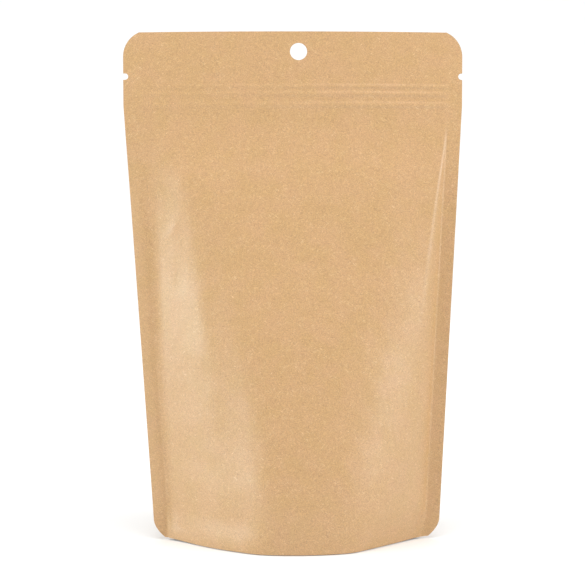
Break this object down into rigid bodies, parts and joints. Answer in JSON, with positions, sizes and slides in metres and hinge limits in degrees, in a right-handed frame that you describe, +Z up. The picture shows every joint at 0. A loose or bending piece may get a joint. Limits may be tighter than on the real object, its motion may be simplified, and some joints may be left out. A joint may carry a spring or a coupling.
{
  "type": "stand-up pouch",
  "caption": "Filled stand-up pouch of plain kraft paper laminate, zip closed, with rounded top corners, tear notches, a hang hole and a bottom gusset.",
  "frame": {"origin": "on the ground under the middle of the pouch's box", "axes": "+Z up the pouch, X across its panels, and the front panel faces -Y"},
  "size_m": [0.1594, 0.077, 0.24],
  "materials": {
    "kraft_laminate": "satin"
  },
  "bodies": {
    "root": {"pouch": "kraft_laminate"}
  },
  "joints": []
}
